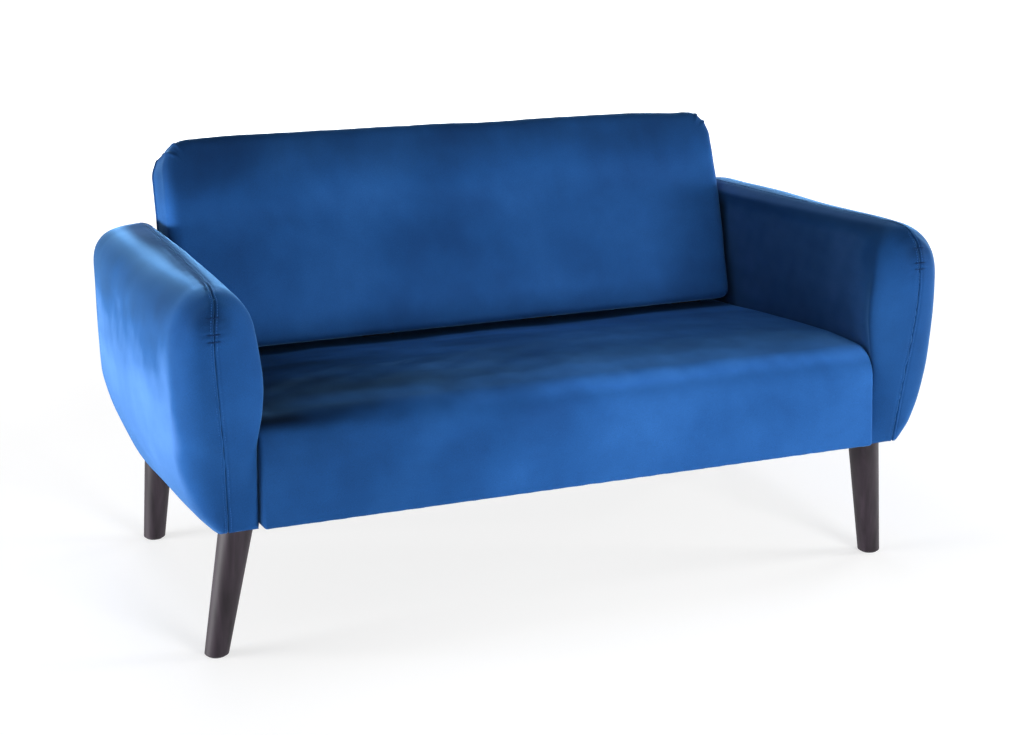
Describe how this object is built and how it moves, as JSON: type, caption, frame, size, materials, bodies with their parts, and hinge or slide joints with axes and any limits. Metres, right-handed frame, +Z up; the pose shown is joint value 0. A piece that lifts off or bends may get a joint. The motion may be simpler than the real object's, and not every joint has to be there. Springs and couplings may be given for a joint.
{
  "type": "two-seat sofa with wooden legs",
  "caption": "Compact two-seat sofa: box seat, reclined padded back and barrel-sided arms in blue velvet, on splayed round tapered dark wooden legs.",
  "frame": {"origin": "on the floor, below the middle of the overall box", "axes": "+X to the right of someone facing the sofa, +Y from the front of the seat to the backrest, +Z up"},
  "size_m": [1.3532, 0.7656, 0.7334],
  "materials": {
    "velvet": "cut-pile velvet",
    "dark_wood": "satin stained beech",
    "glide_plastic": "matt",
    "zinc_steel": "zinc plated",
    "spring_steel": "oiled spring wire",
    "softwood": "planed, unfinished",
    "plywood": "sanded, unfinished",
    "fibreboard": "hardboard",
    "foam": "open-cell upholstery foam",
    "felt": "needled felt",
    "black_cloth": "non-woven cloth"
  },
  "bodies": {
    "root": {"arm_base_rail_left": "softwood", "arm_base_rail_right": "softwood", "arm_bolts": "zinc_steel", "arm_bottom_cloth_left": "black_cloth", "arm_bottom_cloth_right": "black_cloth", "arm_foam_left": "foam", "arm_foam_right": "foam", "arm_front_post_left": "softwood", "arm_front_post_right": "softwood", "arm_inner_cover_left": "velvet", "arm_inner_cover_right": "velvet", "arm_nuts": "zinc_steel", "arm_outer_cover_left": "velvet", "arm_outer_cover_right": "velvet", "arm_panel_left": "plywood", "arm_panel_right": "plywood", "arm_rear_post_left": "softwood", "arm_rear_post_right": "softwood", "arm_top_rail_left": "softwood", "arm_top_rail_right": "softwood", "back_deck": "fibreboard", "back_feet": "softwood", "back_foam": "foam", "back_front_cover": "velvet", "back_gable_left": "plywood", "back_gable_middle": "plywood", "back_gable_right": "plywood", "back_rail_bottom": "softwood", "back_rail_middle": "softwood", "back_rail_top": "softwood", "back_rear_cover": "velvet", "corner_blocks": "softwood", "dust_cover": "black_cloth", "glide_front_left": "glide_plastic", "glide_front_right": "glide_plastic", "glide_rear_left": "glide_plastic", "glide_rear_right": "glide_plastic", "leg_bolts": "zinc_steel", "leg_front_left": "dark_wood", "leg_front_right": "dark_wood", "leg_plates": "zinc_steel", "leg_rear_left": "dark_wood", "leg_rear_right": "dark_wood", "plate_screws": "zinc_steel", "rear_deck": "plywood", "seat_brace": "softwood", "seat_cover": "velvet", "seat_foam": "foam", "seat_rail_front": "softwood", "seat_rail_left": "softwood", "seat_rail_middle": "softwood", "seat_rail_rear": "softwood", "seat_rail_right": "softwood", "seat_rear_side_rail_left": "softwood", "seat_rear_side_rail_right": "softwood", "seat_springs": "spring_steel", "spring_clips": "spring_steel", "spring_felt": "felt"}
  },
  "joints": []
}
